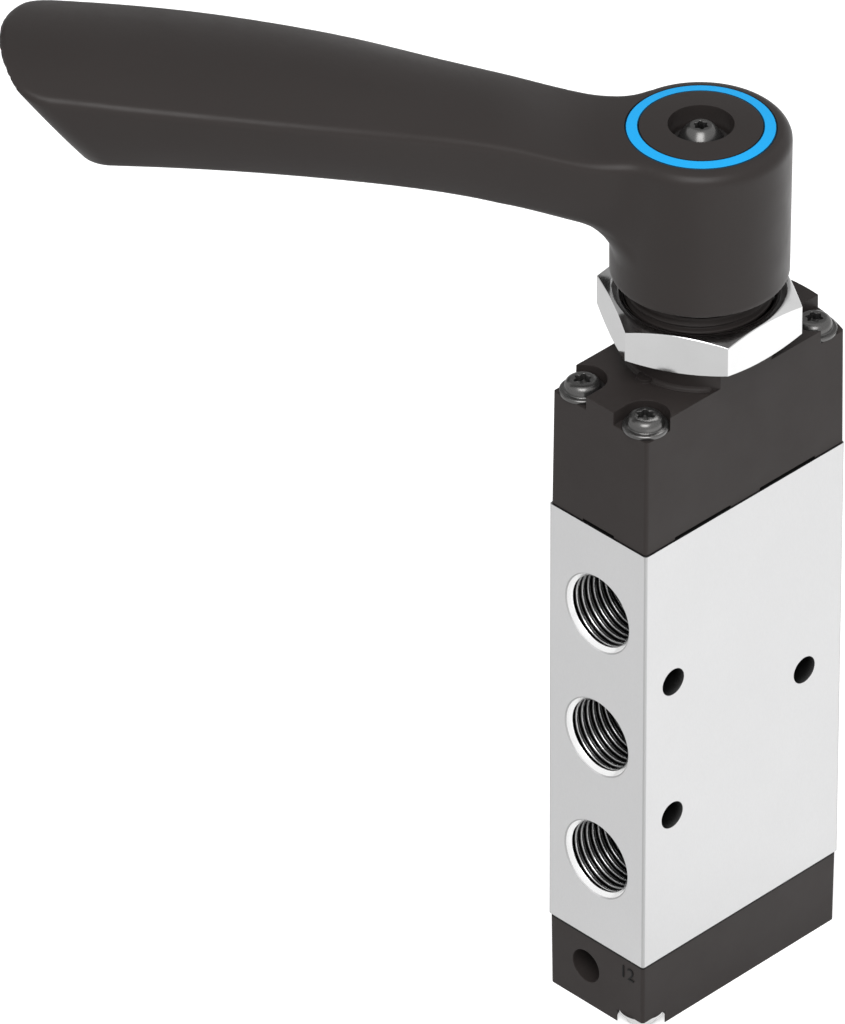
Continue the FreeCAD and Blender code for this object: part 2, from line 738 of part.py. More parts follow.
def make_end_bush():
    """The plain guide of the spool's lower end."""
    top = PORT_MIDDLE - STACK_HALF - S["seal_width"] / 2
    inner = S["spool_radius"] + S["running_gap"]
    return turned("end_bush", [(inner, BODY_FOOT), (SEAL_OUTER_RADIUS, BODY_FOOT),
                               (SEAL_OUTER_RADIUS, top), (inner, top)])


def make_buffer():
    """The rubber disc that stops the spool at its lower end."""
    foot = BODY_FOOT - S["buffer_recess_depth"]
    radius = S["buffer_radius"]
    return turned("buffer_disc", [(0, foot), (radius, foot), (radius, foot + S["buffer_height"]),
                                  (0, foot + S["buffer_height"])])


def make_guide_bush():
    """The fixed bush round the cam sleeve: it guides the pin upright and holds the detents."""
    foot = PORT_MIDDLE + STACK_HALF + S["seal_width"] / 2
    floor = BODY_TOP + 0.5
    guide = S["spool_radius"] + S["running_gap"]
    sleeve = S["sleeve_radius"] + S["running_gap"]
    outer = S["bush_radius"]
    track = S["sleeve_radius"] + S["ball_track_depth"] + S["slip_gap"]
    reach = S["ball_radius"] * 0.8
    body = turned("guide_bush",
                  [(guide, foot), (SEAL_OUTER_RADIUS, foot), (SEAL_OUTER_RADIUS, BODY_TOP),
                   (outer, BODY_TOP), (outer, SLEEVE_TOP), (sleeve, SLEEVE_TOP),
                   (sleeve, DETENT_HEIGHT + reach), (track, DETENT_HEIGHT + reach - 0.3),
                   (track, DETENT_HEIGHT - reach + 0.3), (sleeve, DETENT_HEIGHT - reach),
                   (sleeve, floor), (guide, floor)])
    slot = new_sketch(body, "XZ_Plane")
    half = S["pin_radius"] + S["running_gap"]
    rectangle(slot, (-half, PIN_HEIGHT - half - 0.2),
              (half, PIN_HEIGHT + S["spool_stroke"] + half + 0.2))
    pocket(body, slot)
    notch = new_sketch(body, "XZ_Plane", track - 0.5)
    circles(notch, [(0, DETENT_HEIGHT)], S["ball_radius"] * 0.5)
    opening = pocket(body, notch, S["detent_depth"] + 0.5, True)
    pattern(body, opening, 4)
    return body


def make_cam_spindle():
    """The spindle that the lever turns: a sleeve with two helical slots below, a square end on top."""
    square_foot = HUB_FOOT + S["square_start"]
    top = WELL_FLOOR - S["hub_web"]
    roof = SLEEVE_TOP - S["sleeve_roof"]
    bore = S["sleeve_bore_radius"]
    groove_low = DRIVE_ROOF + S["shaft_seal_rise"]
    groove_high = groove_low + S["shaft_seal_width"]
    shaft = S["shaft_radius"]
    body = turned("cam_spindle",
                  [(bore, SLEEVE_FOOT), (S["sleeve_radius"], SLEEVE_FOOT), (S["sleeve_radius"], SLEEVE_TOP),
                   (shaft, SLEEVE_TOP), (shaft, groove_low), (S["shaft_seal_radius"], groove_low),
                   (S["shaft_seal_radius"], groove_high), (shaft, groove_high), (shaft, top - 0.4),
                   (shaft - 0.4, top), (0, top), (0, roof), (bore, roof)])
    flats = new_sketch(body, "XY_Plane", square_foot, turn=S["lever_angle"])
    rectangle(flats, (-S["square_half_width"], -S["square_half_width"]),
              (S["square_half_width"], S["square_half_width"]))
    circles(flats, [(0, 0)], shaft + 1)
    pocket(body, flats, top - square_foot, True)
    tapped = new_sketch(body, "XY_Plane", top)
    circles(tapped, [(0, 0)], S["hub_screw_radius"] + S["slip_gap"])
    pocket(body, tapped, S["hub_screw_length"])

    cross = new_sketch(body, "YZ_Plane")
    circles(cross, [(0, DETENT_HEIGHT)], S["ball_radius"] + S["running_gap"])
    pocket(body, cross)

    lead = S["spool_stroke"] * S["cam_slot_run_out"] / S["lever_swing"]
    slot = new_sketch(body, "YZ_Plane", turn=S["cam_slot_run_out"], about=(0, 1, 0))
    low = PIN_HEIGHT - lead - S["cam_slot_height"] / 2
    rectangle(slot, (S["sleeve_bore_radius"] - 0.6, low),
              (S["sleeve_radius"] + 0.6, low + S["cam_slot_height"]))
    before = body.Shape.Volume
    helix = body.newObject("PartDesign::SubtractiveHelix", "cam_slot")
    helix.Profile = slot
    helix.ReferenceAxis = (slot, ["V_Axis"])
    helix.Mode = "pitch-height-angle"
    helix.Pitch = CAM_PITCH.value
    helix.setExpression("Pitch", CAM_PITCH.formula)
    run = S["spool_stroke"] + lead * 2
    helix.Height = run.value
    helix.setExpression("Height", run.formula)
    helix.Angle = 0
    helix.LeftHanded = True
    helix.Reversed = False
    doc.recompute()
    if not body.Shape.Volume < before - 1:
        raise ValueError("the cam slot cuts nothing")
    pattern(body, helix, 2)
    return body


def make_thrust_washer():
    """The plain washer between the cam sleeve and the housing's roof."""
    inner = S["shaft_radius"] + S["running_gap"]
    return turned("thrust_washer", [(inner, SLEEVE_TOP), (S["bush_radius"] - 0.15, SLEEVE_TOP),
                                    (S["bush_radius"] - 0.15, DRIVE_ROOF), (inner, DRIVE_ROOF)])


def make_shaft_seal():
    """The ring in the spindle's groove that seals the collar's bore."""
    low = DRIVE_ROOF + S["shaft_seal_rise"] + 0.1
    high = low + S["shaft_seal_width"] - 0.2
    inner, outer = S["shaft_seal_radius"], S["shaft_radius"] + S["running_gap"] - S["slip_gap"]
    bevel = 0.3
    return turned("shaft_seal", [(inner, low + bevel), (inner + bevel, low), (outer - bevel, low),
                                 (outer, low + bevel), (outer, high - bevel), (outer - bevel, high),
                                 (inner + bevel, high), (inner, high - bevel)])


def make_detent():
    """Two balls pushed apart by a spring in the spindle's cross hole."""
    place = S["sleeve_radius"] + S["ball_track_depth"] - S["ball_radius"]
    pieces = []
    for label, side in (("detent_ball_left", -1), ("detent_ball_right", 1)):
        ball = doc.addObject("Part::Sphere", label)
        ball.Label = label
        ball.Radius = S["ball_radius"].value
        ball.setExpression("Radius", S["ball_radius"].formula)
        centre = place * side
        ball.Placement = FreeCAD.Placement(Vector(centre.value, 0, DETENT_HEIGHT.value), FreeCAD.Rotation())
        ball.setExpression("Placement.Base.x", centre.formula)
        ball.setExpression("Placement.Base.z", DETENT_HEIGHT.formula)
        pieces.append(ball)

    length = 2 * (place.value - S["ball_radius"].value) - 2 * S["spring_wire_radius"].value - 0.06
    coil = Part.makeHelix(length / S["spring_turns"].value, length, S["spring_radius"].value)
    start = Vector(S["spring_radius"].value, 0, 0)
    wire = Part.Wire([Part.makeCircle(S["spring_wire_radius"].value, start, Vector(0, 1, 0))])
    spring = doc.addObject("Part::Feature", "detent_spring")
    spring.Label = "detent_spring"
    spring.Shape = Part.Wire(coil).makePipeShell([wire], True, True)
    spring.Placement = FreeCAD.Placement(Vector(-length / 2, 0, DETENT_HEIGHT.value),
                                         FreeCAD.Rotation(Vector(0, 1, 0), 90))
    pieces.append(spring)
    return pieces


def arm_section(body, name):
    """One section across the lever arm: crowned on top, with walls that curve inwards to a flat foot."""
    place, half_width, rise, depth, crown = [S[f"arm_{name}_{column}"] for column in ARM_COLUMNS]
    sketch = new_sketch(body, "YZ_Plane", S["lever_reach"] * place)
    lean = S["arm_wall_lean"]
    high = HUB_TOP + rise
    low = high - depth
    crown_radius = (half_width * half_width + crown * crown) / (crown * 2)
    wall_radius = (lean * lean + depth * depth) / (lean * 2)
    outline(sketch, [(half_width, high, crown_radius, 1), (-half_width, high, wall_radius, 1),
                     (lean - half_width, low), (half_width - lean, low, wall_radius, 1)])
    return sketch


def trim_tip(body):
    """Cut the arm's end to a round plan with a slanting underside, and round its two corners."""
    reach, tip = S["lever_reach"], S["tip_radius"]
    far = reach * 2
    side = tip * 0.88
    start = reach - tip + root(tip * tip - side * side)
    plan = new_sketch(body, "XY_Plane", HUB_FOOT)
    outline(plan, [(start, side), (start, reach), (far, reach), (far, -reach), (start, -reach),
                   (start, -side, tip, 1)])
    pocket(body, plan)
    foot, crest = HUB_TOP, HUB_TOP + S["tip_undercut_rise"]
    undercut = new_sketch(body, "XZ_Plane")
    outline(undercut, [(reach - S["tip_undercut_run"], foot), (reach, crest), (far, crest), (far, foot)])
    pocket(body, undercut)
    dress(body, "Fillet", S["tip_corner_radius"],
          lambda edge: edge.BoundBox.XMin > (reach - tip * 0.4).value and edge.BoundBox.YLength < tip.value * 0.1)


def make_lever():
    """The lever: a lofted arm with a crowned top and curved walls, blended into a domed hub."""
    body = new_body("lever")
    sections = [arm_section(body, section[0]) for section in ARM_SECTIONS]
    loft = body.newObject("PartDesign::AdditiveLoft", "lever_arm")
    loft.Profile = sections[0]
    loft.Sections = sections[1:]
    loft.Ruled = False
    doc.recompute()
    trim_tip(body)

    hub = new_sketch(body, "XZ_Plane", turn=size(180), about=(0, 1, 0))
    rim, dome = S["hub_edge_radius"], S["hub_dome_radius"]
    dome_edge = S["hub_top_radius"] - rim
    dome_drop = dome - root(dome * dome - dome_edge * dome_edge)
    boss_foot = HUB_FOOT - S["hub_boss_drop"]
    outline(hub, [(0, boss_foot), (S["hub_boss_radius"], boss_foot),
                  (S["hub_boss_radius"], HUB_FOOT), (S["hub_bottom_radius"], HUB_FOOT),
                  (S["hub_top_radius"], HUB_TOP - dome_drop - rim, rim, 1),
                  (dome_edge, HUB_TOP - dome_drop, dome, 1), (0, HUB_TOP)])
    revolve(body, hub)
    dress(body, "Fillet", S["hub_fillet_radius"],
          lambda edge: edge.BoundBox.XMin > 0 and edge.BoundBox.XMax < S["hub_top_radius"].value
          and edge.BoundBox.ZMin < (HUB_TOP - S["arm_neck_depth"] / 2).value)

    well = new_sketch(body, "XY_Plane", HUB_TOP)
    circles(well, [(0, 0)], S["hub_well_radius"])
    pocket(body, well, S["hub_well_depth"])
    ring = new_sketch(body, "XZ_Plane")
    gap = S["slip_gap"]
    rectangle(ring, (S["ring_inner_radius"] - gap, HUB_TOP - S["ring_depth"]),
              (S["ring_outer_radius"] + gap, HUB_TOP + S["ring_depth"]))
    revolve(body, ring, "PartDesign::Groove")

    screw_hole = new_sketch(body, "XY_Plane", HUB_TOP)
    circles(screw_hole, [(0, 0)], S["hub_screw_radius"] + S["cap_hole_clearance"])
    pocket(body, screw_hole)
    shaft = new_sketch(body, "XY_Plane", boss_foot)
    circles(shaft, [(0, 0)], S["shaft_radius"] + gap)
    pocket(body, shaft, S["hub_boss_drop"] + S["square_start"] + S["spindle_end_gap"], True)
    square = new_sketch(body, "XY_Plane", HUB_FOOT)
    half = S["square_half_width"] + gap
    rectangle(square, (-half, -half), (half, half))
    pocket(body, square, WELL_FLOOR - S["hub_web"] - HUB_FOOT + S["spindle_end_gap"], True)
    body.Placement = FreeCAD.Placement(Vector(), FreeCAD.Rotation(Vector(0, 0, 1), S["lever_angle"].value))
    body.setExpression("Placement.Rotation.Angle", S["lever_angle"].formula)
    return body


def make_position_ring():
    """The coloured ring let into the hub's top."""
    dome = S["hub_dome_radius"]
    inner, outer = S["ring_inner_radius"], S["ring_outer_radius"]
    inner_top = HUB_TOP - dome + root(dome * dome - inner * inner)
    outer_top = HUB_TOP - dome + root(dome * dome - outer * outer)
    foot = HUB_TOP - S["ring_depth"]
    return turned("position_ring", [(inner, foot), (outer, foot), (outer, outer_top, dome, 1),
                                    (inner, inner_top)])


def make_hub_fastening():
    """The screw and washer that hold the lever on its spindle."""
    seat = WELL_FLOOR + S["washer_height"]
    radius = S["hub_screw_radius"]
    washer = turned("hub_washer", [(radius + S["running_gap"], WELL_FLOOR), (S["washer_radius"], WELL_FLOOR),
                                   (S["washer_radius"], seat), (radius + S["running_gap"], seat)])
    head_radius, height = S["hub_screw_head_radius"], S["hub_screw_head_height"]
    head = [(head_radius, size(0)), (head_radius, size(0.3)), (head_radius - 0.2, size(0.95)),
            (head_radius - 0.55, size(1.7)), (S["hub_screw_top_radius"], height)]
    length = S["hub_screw_length"] + S["washer_height"]
    return [washer, make_screw("hub_screw", head, radius, length, seat, 1)]


def check_and_write(pieces):
    """Stop on any failed object or broken solid, then write one file for each sub-part."""
    doc.recompute()
    for item in doc.Objects:
        if "Invalid" in item.State or "Error" in item.State:
            raise ValueError(f"{item.Name} is in state {item.State}")
    os.makedirs("parts", exist_ok=True)
    for piece in pieces:
        shape = piece.Shape
        if shape.isNull() or not shape.isValid() or not shape.Solids:
            raise ValueError(f"{piece.Label} has no valid solid")
        shape.exportStep(f"parts/{piece.Label}.step")
        print(f"{piece.Label}: {len(shape.Solids)} solid(s), {shape.Volume:.1f} mm3")


def main():
    pieces = [make_valve_body(), make_top_cap(), make_bottom_cap()]
    pieces.append(make_gasket("top_gasket", BODY_TOP, S["bush_radius"] + S["slip_gap"], False))
    pieces.append(make_gasket("bottom_gasket", BODY_FOOT, S["spool_radius"] + S["slip_gap"], True))
    pieces.append(make_panel_nut())
    pieces.append(make_cap_screws("top_cap_screws", POCKET_FLOOR, 1,
                                  S["top_cap_height"] - S["pocket_depth"], FOUR_CORNERS))
    pieces.append(make_cap_screws("bottom_cap_screws", S["pocket_depth"], -1,
                                  S["bottom_cap_height"] - S["pocket_depth"], TWO_CORNERS))
    pieces += [make_spool(), make_cam_pin(), make_end_bush(), make_buffer(), make_guide_bush()]
    pieces += make_stack()
    pieces += [make_cam_spindle(), make_thrust_washer(), make_shaft_seal()]
    pieces += make_detent()
    pieces += [make_lever(), make_position_ring()]
    pieces += make_hub_fastening()
    check_and_write(pieces)


main()
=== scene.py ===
"""Looks of the hand lever air valve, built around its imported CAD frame."""
import json
import math

import bmesh
import bpy
import numpy as np
from mathutils import Matrix, Vector


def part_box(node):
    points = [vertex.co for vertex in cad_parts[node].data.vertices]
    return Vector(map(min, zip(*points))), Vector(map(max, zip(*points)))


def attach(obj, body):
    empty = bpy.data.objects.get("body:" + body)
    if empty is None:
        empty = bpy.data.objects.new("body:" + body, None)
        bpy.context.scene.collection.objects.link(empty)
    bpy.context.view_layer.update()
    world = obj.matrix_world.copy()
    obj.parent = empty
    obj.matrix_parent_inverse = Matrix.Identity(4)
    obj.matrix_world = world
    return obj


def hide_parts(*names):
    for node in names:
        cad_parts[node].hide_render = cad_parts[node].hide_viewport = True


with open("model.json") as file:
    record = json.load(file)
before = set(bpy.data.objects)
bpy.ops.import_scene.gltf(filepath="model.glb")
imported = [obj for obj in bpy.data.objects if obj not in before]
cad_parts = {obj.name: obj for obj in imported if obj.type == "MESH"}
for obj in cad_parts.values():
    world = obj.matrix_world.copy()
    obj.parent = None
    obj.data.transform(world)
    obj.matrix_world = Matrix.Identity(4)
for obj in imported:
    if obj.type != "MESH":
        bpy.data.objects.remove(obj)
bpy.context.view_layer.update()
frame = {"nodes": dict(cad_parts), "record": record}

MM = 0.001

# Places in the CAD frame, in millimetres: measured, or typed where no box says them
BODY_LOW, BODY_HIGH = [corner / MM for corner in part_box("valve_body")]
HALF_DEPTH = BODY_HIGH.y
BODY_TOP = BODY_HIGH.z
NUT_LOW, NUT_HIGH = [corner.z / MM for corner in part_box("panel_nut")]
COLLAR_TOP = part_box("top_cap")[1].z / MM
COLLAR_RISE = 9.2
CAP_TOP = COLLAR_TOP - COLLAR_RISE
HUB_GAP, HUB_HEIGHT = 1.5, 19.1
HUB_FOOT = COLLAR_TOP + HUB_GAP
HUB_TOP = HUB_FOOT + HUB_HEIGHT
PORT_MIDDLE = (BODY_LOW.z + BODY_TOP) / 2 + 0.05
PORT_PITCH = 17.0
NUT_DISH = 1.3
SCREW_X, SCREW_Y, SCREW_DEPTH = 4.85, 13.3, 1.7
RING_INNER, RING_OUTER = 6.85, 8.3
LEVER_ANGLE = math.radians(225)


def make_camera():
    """The photograph's camera, from a fit to the edges of body, caps, ports and nut."""
    data = bpy.data.cameras.new("camera")
    data.sensor_width = 36.0
    data.lens = 458.4
    data.clip_start = 0.05
    data.clip_end = 20.0
    camera = bpy.data.objects.new("camera", data)
    right = Vector((0.70317806, 0.71100248, -0.0040104))
    up = Vector((-0.40907093, 0.40916972, 0.81562314))
    back = Vector((0.58155102, -0.57188776, 0.57856962))
    rotation = Matrix((right, up, back)).transposed().to_4x4()
    place = Vector((0.821951, -0.851141, 0.900334))
    camera.matrix_world = Matrix.Translation(place) @ rotation
    bpy.context.scene.collection.objects.link(camera)
    bpy.context.scene.camera = camera


# Materials

class Nodes:
    """Short spellings for the nodes of one material."""

    def __init__(self, tree):
        self.tree = tree
        coordinates = tree.nodes.new("ShaderNodeTexCoord")
        self.place = coordinates.outputs["Object"]

    def feed(self, value, socket):
        """Link a socket to its source, or set it to a number or a colour."""
        if isinstance(value, bpy.types.NodeSocket):
            self.tree.links.new(value, socket)
        else:
            socket.default_value = (*value, 1) if isinstance(value, (tuple, list)) else value

    def noise(self, scale, detail=3.0, rough=0.55, stretch=None):
        """Noise with a feature size in millimetres, stretched along an axis if asked."""
        mapping = self.tree.nodes.new("ShaderNodeMapping")
        factor = 1.0 / (scale * MM)
        mapping.inputs["Scale"].default_value = [factor * s for s in (stretch or (1, 1, 1))]
        self.feed(self.place, mapping.inputs["Vector"])
        node = self.tree.nodes.new("ShaderNodeTexNoise")
        node.inputs["Scale"].default_value = 1.0
        node.inputs["Detail"].default_value = detail
        node.inputs["Roughness"].default_value = rough
        self.feed(mapping.outputs[0], node.inputs["Vector"])
        return node.outputs["Fac"]

    def ramp(self, factor, low, high, start=0.3, end=0.7):
        """Blend between two colours or two grey levels."""
        node = self.tree.nodes.new("ShaderNodeValToRGB")
        stops = node.color_ramp.elements
        for stop, position, value in ((stops[0], start, low), (stops[1], end, high)):
            colour = value if isinstance(value, (tuple, list)) else (value, value, value)
            stop.position = position
            stop.color = (*colour, 1)
        self.feed(factor, node.inputs["Fac"])
        return node.outputs["Color"]

    def mix(self, factor, first, second):
        """Mix two colours by a factor, each a constant or a socket."""
        node = self.tree.nodes.new("ShaderNodeMix")
        node.data_type = "RGBA"
        for index, value in ((0, factor), (6, first), (7, second)):
            self.feed(value, node.inputs[index])
        return node.outputs[2]

    def blend(self, factor, first, second):
        """Mix two numbers by a factor, each a constant or a socket."""
        node = self.tree.nodes.new("ShaderNodeMix")
        for index, value in ((0, factor), (2, first), (3, second)):
            self.feed(value, node.inputs[index])
        return node.outputs[0]

    def bump(self, height, depth, normal):
        """Bump with a depth in millimetres, on top of another normal."""
        node = self.tree.nodes.new("ShaderNodeBump")
        node.inputs["Strength"].default_value = 1.0
        node.inputs["Distance"].default_value = depth * MM
        self.feed(height, node.inputs["Height"])
        self.feed(normal, node.inputs["Normal"])
        return node.outputs["Normal"]

    def openness(self, reach):
        """How open a place is to its surroundings within a reach in millimetres."""
        node = self.tree.nodes.new("ShaderNodeAmbientOcclusion")
        node.samples = 8
        node.inputs["Distance"].default_value = reach * MM
        return node.outputs["AO"]

    def math(self, operation, first, second=0.0):
        """An operation on one or two values, each a number or a socket."""
        node = self.tree.nodes.new("ShaderNodeMath")
        node.operation = operation
        for index, value in enumerate((first, second)):
            self.feed(value, node.inputs[index])
        return node.outputs["Value"]

    def geometry(self, name):
        """One output of the geometry node, in the scene's own frame."""
        return self.tree.nodes.new("ShaderNodeNewGeometry").outputs[name]

    def axes(self, vector):
        """The three parts of a vector."""
        node = self.tree.nodes.new("ShaderNodeSeparateXYZ")
        self.feed(vector, node.inputs["Vector"])
        return node.outputs

    def near(self, value, middle, reach):
        """1 where a value lies within a reach of its middle, else 0."""
        offset = self.math("ABSOLUTE", self.math("SUBTRACT", value, middle))
        return self.math("LESS_THAN", offset, reach)

    def rays(self, *kinds):
        """1 for rays of any of the kinds, else 0."""
        path = self.tree.nodes.new("ShaderNodeLightPath")
        total = path.outputs[f"Is {kinds[0]} Ray"]
        for kind in kinds[1:]:
            total = self.math("MAXIMUM", total, path.outputs[f"Is {kind} Ray"])
        return total

    def attribute(self, name):
        """A number stored on the mesh, 0 where it is missing."""
        node = self.tree.nodes.new("ShaderNodeAttribute")
        node.attribute_name = name
        return node.outputs["Fac"]

    def soft_edges(self, radius):
        """A normal that rounds the edges, with a radius in millimetres."""
        node = self.tree.nodes.new("ShaderNodeBevel")
        node.samples = 6
        node.inputs["Radius"].default_value = radius * MM
        return node.outputs["Normal"]


def new_material(name, metallic=0.0, specular=0.5):
    """A principled material, its node helper and its shader."""
    material = bpy.data.materials.new(name)
    material.use_nodes = True
    shader = material.node_tree.nodes["Principled BSDF"]
    shader.inputs["Metallic"].default_value = metallic
    shader.inputs["Specular IOR Level"].default_value = specular
    return material, Nodes(material.node_tree), shader


def finish_material(nodes, shader, colour, roughness, normal):
    """Link the three varying inputs of a material."""
    for name, source in (("Base Color", colour), ("Roughness", roughness), ("Normal", normal)):
        nodes.feed(source, shader.inputs[name])


def painted_joint_shadows(nodes):
    """1 in the narrow painted shadows where the caps meet the body.

    The lower one is wider, since the body's overhang hides part of it from above.
    """
    height = nodes.axes(nodes.geometry("Position"))["Z"]
    low = nodes.near(height, (BODY_LOW.z - 0.2) * MM, 0.22 * MM)
    high = nodes.near(height, (BODY_TOP + 0.08) * MM, 0.09 * MM)
    return nodes.math("MAXIMUM", low, high)


def ring_gap_shade(nodes):
    """1 in the painted shade on both edges of the blue ring, beside the narrow gaps round it."""
    part = nodes.axes(nodes.place)
    squares = [nodes.math("MULTIPLY", part[axis], part[axis]) for axis in "XY"]
    radius = nodes.math("SQRT", nodes.math("ADD", *squares))
    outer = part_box("position_ring")[1].x
    width, shade_width = (RING_OUTER - RING_INNER) * MM, 0.13 * MM
    offset = nodes.math("ABSOLUTE", nodes.math("SUBTRACT", radius, outer - width / 2))
    return nodes.math("GREATER_THAN", offset, width / 2 - shade_width)


def moulded(name, colour, roughness, grain, depth, edge, specular=0.5, shade_lines=None):
    """Moulded plastic: a fine eroded grain, faint flow marks and uneven gloss.

    Grain, bump depth and edge radius are in millimetres. Where the shade mask is 1, painted shade
    is drawn very dark.
    """
    material, nodes, shader = new_material(name, specular=specular)
    # The last colour, very dark, is for painted shade
    dark, light, speck, shade_black = [[c * share for c in colour] for share in (0.88, 1.12, 1.5, 0.12)]
    flow = nodes.noise(14.0, 2.0, 0.5)
    fine = nodes.noise(grain, 4.0, 0.7)
    base = nodes.mix(nodes.ramp(flow, 0.35, 0.65), dark, light)
    base = nodes.mix(nodes.ramp(fine, 0.0, 0.16), base, speck)
    if shade_lines:
        # Painted shade, mixed in very dark where the mask is 1
        base = nodes.mix(shade_lines(nodes), base, shade_black)
    rough = nodes.ramp(nodes.noise(5.0, 5.0, 0.6), roughness - 0.05, roughness + 0.05)
    normal = nodes.bump(fine, depth, nodes.soft_edges(edge))
    finish_material(nodes, shader, base, rough, nodes.bump(nodes.noise(4.0, 2.0), 0.01, normal))
    return material


def rolled(name, colour, roughness, metallic, grain, depth, edge, stretch=None):
    """Metal with a fine grain, even or directional, mottled more widely, with painted shade in its
    depths.
    """
    material, nodes, shader = new_material(name, metallic=metallic)
    # The last colour, very dark, is for painted shade in the depths
    dull, light, speck, shade_black = [[c * share for c in colour] for share in (0.94, 1.024, 0.9, 0.06)]
    cloud = nodes.noise(9.0, 3.0, 0.55)
    fine = nodes.noise(grain, 3.0, 0.65, stretch)
    base = nodes.mix(nodes.ramp(cloud, 0.0, 1.0), dull, light)
    base = nodes.mix(nodes.ramp(fine, 0.0, 0.2), base, speck)
    # Painted shade: very dark where the surface is closed in within 2 mm
    base = nodes.mix(nodes.ramp(nodes.openness(2.0), 0.0, 1.0, 0.03, 0.32), shade_black, base)
    rough = nodes.ramp(fine, roughness - 0.03, roughness + 0.03)
    normal = nodes.bump(fine, depth, nodes.soft_edges(edge))
    finish_material(nodes, shader, base, rough, normal)
    return material


def body_aluminium():
    """Satin extrusion, with painted shade in its bores and on its upright rounded corners.

    Threads are turned where the mesh says so, light bare metal with painted shade between their
    turns and deep in the ports.
    """
    material, nodes, shader = new_material("satin_aluminium")
    turned = nodes.attribute("turned")
    fine = nodes.noise(0.12, 3.0, 0.65, (1.0, 1.0, 0.35))
    cloud = nodes.ramp(nodes.noise(9.0, 3.0, 0.55),
                       (0.62, 0.62, 0.623), (0.648, 0.648, 0.651), 0.0, 1.0)
    satin_and_shade = nodes.mix(nodes.ramp(fine, 0.0, 0.2), cloud, (0.58, 0.58, 0.583))
    # Painted shade in the bores: very dark where the surface is closed in within 4 mm
    bore = (0.012, 0.012, 0.012)
    satin_and_shade = nodes.mix(nodes.ramp(nodes.openness(4.0), 0.0, 1.0, 0.55, 0.96), bore, satin_and_shade)
    # Painted shade on the upright rounded corners, where the normal lies between X and Y
    facing = nodes.axes(nodes.geometry("Normal"))
    corner = nodes.math("ABSOLUTE", nodes.math("MULTIPLY", facing["X"], facing["Y"]))
    satin_and_shade = nodes.mix(nodes.ramp(corner, 0.0, 0.45, 0.03, 0.2), satin_and_shade, (0.2, 0.2, 0.2))
    # Painted shade at the thread roots and deep in the ports; the crest grey is the turned metal's
    # own
    root, crest = (0.015, 0.015, 0.015), (0.95, 0.95, 0.95)
    turned_with_shade = nodes.mix(nodes.ramp(nodes.openness(1.2), 0.0, 1.0, 0.35, 0.95), root, crest)
    turned_with_shade = nodes.mix(nodes.ramp(nodes.openness(5.0), 0.0, 1.0, 0.45, 1.0), root, turned_with_shade)
    nodes.feed(nodes.ramp(turned, 0.6, 1.0, 0.0, 1.0), shader.inputs["Metallic"])
    rough = nodes.mix(turned, nodes.ramp(fine, 0.46, 0.55), (0.24, 0.24, 0.24))
    finish_material(nodes, shader, nodes.mix(turned, satin_and_shade, turned_with_shade), rough,
                    nodes.bump(fine, 0.002, nodes.soft_edges(0.1)))
    return material


# Moulded: name, colour, roughness, grain, bump depth, edge radius, specular, painted shade mask
# Rolled: name, colour, roughness, metallic, grain, bump depth, edge radius, stretch
MATERIALS = {
    "body_aluminium": body_aluminium(),
    "cap_plastic": moulded(
        "cap_plastic", (0.031, 0.0262, 0.0249), 0.46, 0.16, 0.005, 0.14, 0.14, painted_joint_shadows),
    "lever_plastic": moulded(
        "lever_plastic", (0.0306, 0.026, 0.0247), 0.4, 0.13, 0.002, 0.08, 0.16),
    "blue_plastic": moulded(
        "blue_plastic", (0.018, 0.41, 0.88), 0.45, 0.2, 0.001, 0.05, 0.1, ring_gap_shade),
    "plated_steel": rolled(
        "plated_steel", (0.65, 0.65, 0.65), 0.1, 1.0, 0.25, 0.0003, 0.06),
    "black_steel": rolled(
        "black_steel", (0.11, 0.108, 0.106), 0.28, 0.8, 0.06, 0.0003, 0.06),
    "bright_steel": rolled(
        "ground_steel", (0.55, 0.55, 0.56), 0.25, 1.0, 0.08, 0.001, 0.05, (1, 1, 6)),
    "spool_aluminium": rolled(
        "spool_aluminium", (0.55, 0.56, 0.57), 0.3, 0.95, 0.1, 0.001, 0.05, (1, 1, 8)),
    "seal_rubber": moulded(
        "seal_rubber", (0.012, 0.012, 0.012), 0.55, 0.1, 0.002, 0.05, 0.1),
    "bearing_plastic": moulded(
        "bearing_plastic", (0.62, 0.60, 0.54), 0.45, 0.2, 0.003, 0.08),
}
for part in frame["record"]["subparts"]:
    node = frame["nodes"][part["node"]]
    node.data.materials.clear()
    node.data.materials.append(MATERIALS[part["material_slot"]])


# Mesh helpers

def add_piece(name, mesh, slot, body, sharp=35):
    """Shade a mesh, give it a finish, and let it ride on a CAD body."""
    mesh.materials.append(MATERIALS[slot])
    mesh.polygons.foreach_set("use_smooth", [True] * len(mesh.polygons))
    mesh.set_sharp_from_angle(angle=math.radians(sharp))
    piece = bpy.data.objects.new(name, mesh)
    bpy.context.scene.collection.objects.link(piece)
    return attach(piece, body)


def circle(count):
    """Even angles once round."""
    return np.arange(count) * (2 * math.pi / count)


